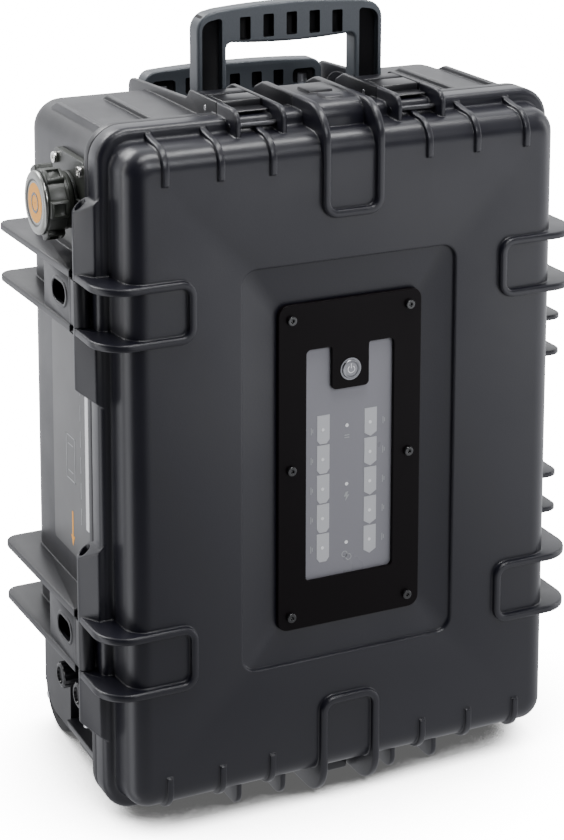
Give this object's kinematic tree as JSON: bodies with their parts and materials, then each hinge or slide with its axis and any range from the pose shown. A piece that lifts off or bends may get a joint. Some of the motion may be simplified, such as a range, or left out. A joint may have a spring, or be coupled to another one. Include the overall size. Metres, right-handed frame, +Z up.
{
  "type": "wheeled battery case",
  "caption": "Portable storage battery in a tall ribbed hard case: side-hinged latched lid with display and power button, folding carry handles, trolley handle, wheels.",
  "frame": {"origin": "on the floor, on the width centre line, under the seam between lid and base", "axes": "+Z up, -Y out of the lid front, +X to the right seen from the lid side"},
  "size_m": [0.446, 0.2484, 0.647],
  "materials": {
    "shell_black": "fine moulded grain, dark charcoal, satin sheen",
    "seal_rubber": "soft black seal cord",
    "pin_steel": "stainless pins",
    "latch_plastic": "smooth black lever plastic",
    "rod_steel": "blackened steel",
    "handle_plastic": "grained charcoal, slightly lighter than the shells",
    "tube_aluminium": "drawn and anodised",
    "bracket_plastic": "glass-filled charcoal plastic",
    "wheel_hub": "moulded dark grey",
    "wheel_tyre": "cushion tread rubber",
    "connector_body": "olive drab hard coat",
    "connector_inside": "insulating insert",
    "contact_brass": "plated contacts",
    "screw_steel": "stainless socket screws",
    "screw_black": "black button-head screws",
    "bezel_black": "satin black moulding",
    "overlay_grey": "smoked grey overlay",
    "bar_light": "light grey bar windows",
    "button_metal": "grey anodised push button",
    "board_green": "solder-masked board",
    "cover_black": "moulded cover",
    "label_grey": "plain rating plate",
    "cell_blue": "shrink-wrapped prismatic cells",
    "plate_aluminium": "milled plate",
    "copper": "bare copper bars",
    "foam": "closed-cell foam",
    "fuse_ceramic": "ceramic body",
    "cable_red": "red silicone cable",
    "cable_black": "black silicone cable"
  },
  "bodies": {
    "base": {"base_shell": "shell_black", "hinge_pins": "pin_steel", "latch_pivot_pins": "pin_steel", "handle_pins": "pin_steel", "trolley_outer_tubes": "tube_aluminium", "trolley_collar": "bracket_plastic", "trolley_foot_bracket": "bracket_plastic", "wheel_bracket_left": "bracket_plastic", "wheel_bracket_right": "bracket_plastic", "wheel_axles": "pin_steel", "connector_flange": "connector_body", "connector_screws": "screw_steel", "connector_socket": "connector_inside", "connector_contacts": "contact_brass", "cap_retainer": "connector_inside", "port_bodies": "connector_inside", "side_label": "label_grey", "battery_cells": "cell_blue", "cell_end_plates": "plate_aluminium", "cell_tie_rods": "pin_steel", "cell_busbars": "copper", "module_tray": "plate_aluminium", "foam_pads": "foam", "bms_board": "board_green", "bms_heatsink": "plate_aluminium", "contactor": "cover_black", "main_fuse": "fuse_ceramic", "cable_positive": "cable_red", "cable_negative": "cable_black"},
    "lid": {"lid_shell": "shell_black", "lid_gasket": "seal_rubber", "latch_strike_rods": "rod_steel", "bezel_plate": "bezel_black", "bezel_screws": "screw_black", "display_overlay": "overlay_grey", "display_bars": "bar_light", "display_board": "board_green", "display_cover": "cover_black", "button_bush": "button_metal", "button_switch": "cover_black"},
    "latch_top_left_lever": {"latch_top_left": "latch_plastic"},
    "latch_top_right_lever": {"latch_top_right": "latch_plastic"},
    "latch_bottom_left_lever": {"latch_bottom_left": "latch_plastic"},
    "latch_bottom_right_lever": {"latch_bottom_right": "latch_plastic"},
    "latch_side_upper_lever": {"latch_side_upper": "latch_plastic"},
    "latch_side_lower_lever": {"latch_side_lower": "latch_plastic"},
    "carry_handle_body": {"carry_handle": "handle_plastic"},
    "side_handle_body": {"side_handle": "handle_plastic"},
    "trolley_handle": {"trolley_grip": "handle_plastic", "trolley_inner_tubes": "tube_aluminium"},
    "trolley_mid": {"trolley_mid_tubes": "tube_aluminium"},
    "connector_cap_body": {"connector_cap": "connector_body"},
    "port_cap_front_body": {"port_cap_front": "latch_plastic"},
    "port_cap_rear_body": {"port_cap_rear": "latch_plastic"},
    "wheel_left": {"wheel_hub_left": "wheel_hub", "wheel_tyre_left": "wheel_tyre"},
    "wheel_right": {"wheel_hub_right": "wheel_hub", "wheel_tyre_right": "wheel_tyre"},
    "button": {"power_button": "button_metal"}
  },
  "joints": [
    {"name": "lid_hinge", "type": "hinge", "parent": "base", "child": "lid", "pos_m": [-0.208, 0, 0.292], "axis": [0, 0, -1], "range_deg": [0, 95]},
    {"name": "latch_top_left_lift", "type": "hinge", "parent": "base", "child": "latch_top_left_lever", "pos_m": [-0.07095, 0.022, 0.573], "axis": [-1, 0, 0], "range_deg": [0, 95]},
    {"name": "latch_top_right_lift", "type": "hinge", "parent": "base", "child": "latch_top_right_lever", "pos_m": [0.07095, 0.022, 0.573], "axis": [-1, 0, 0], "range_deg": [0, 95]},
    {"name": "latch_bottom_left_lift", "type": "hinge", "parent": "base", "child": "latch_bottom_left_lever", "pos_m": [-0.07095, 0.022, 0.011], "axis": [1, 0, 0], "range_deg": [0, 95]},
    {"name": "latch_bottom_right_lift", "type": "hinge", "parent": "base", "child": "latch_bottom_right_lever", "pos_m": [0.07095, 0.022, 0.011], "axis": [1, 0, 0], "range_deg": [0, 95]},
    {"name": "latch_side_upper_lift", "type": "hinge", "parent": "base", "child": "latch_side_upper_lever", "pos_m": [0.2015, 0.022, 0.3617], "axis": [0, 0, 1], "range_deg": [0, 95]},
    {"name": "latch_side_lower_lift", "type": "hinge", "parent": "base", "child": "latch_side_lower_lever", "pos_m": [0.2015, 0.022, 0.2223], "axis": [0, 0, 1], "range_deg": [0, 95]},
    {"name": "carry_handle_fold", "type": "hinge", "parent": "base", "child": "carry_handle_body", "pos_m": [0, 0.065, 0.562], "axis": [-1, 0, 0], "range_deg": [0, 88]},
    {"name": "side_handle_lift", "type": "hinge", "parent": "base", "child": "side_handle_body", "pos_m": [0.1905, 0.065, 0.292], "axis": [0, 0, -1], "range_deg": [0, 88]},
    {"name": "trolley_slide", "type": "slide", "parent": "base", "child": "trolley_handle", "axis": [0, 0, 1], "range_m": [0, 0.38]},
    {"name": "trolley_mid_slide", "type": "slide", "parent": "base", "child": "trolley_mid", "axis": [0, 0, 1], "range_m": [0, 0.19]},
    {"name": "cap_twist", "type": "hinge", "parent": "base", "child": "connector_cap_body", "pos_m": [-0.213, 0.048, 0.5042], "axis": [-1, 0, 0], "range_deg": [0, 90]},
    {"name": "port_cap_front_twist", "type": "hinge", "parent": "base", "child": "port_cap_front_body", "pos_m": [-0.196, 0.035, 0.09], "axis": [-1, 0, 0], "range_deg": [0, 90]},
    {"name": "port_cap_rear_twist", "type": "hinge", "parent": "base", "child": "port_cap_rear_body", "pos_m": [-0.196, 0.075, 0.09], "axis": [-1, 0, 0], "range_deg": [0, 90]},
    {"name": "wheel_left_spin", "type": "hinge", "parent": "base", "child": "wheel_left", "pos_m": [-0.1667, 0.15, 0.035], "axis": [1, 0, 0], "continuous": true},
    {"name": "wheel_right_spin", "type": "hinge", "parent": "base", "child": "wheel_right", "pos_m": [0.1667, 0.15, 0.035], "axis": [1, 0, 0], "continuous": true},
    {"name": "button_press", "type": "slide", "parent": "lid", "child": "button", "axis": [0, 1, 0], "range_m": [0, 0.0015], "stiffness_N_per_m": 400}
  ],
  "couplings": [
    {"joint": "trolley_mid_slide", "follows": "trolley_slide", "ratio": 0.5}
  ]
}
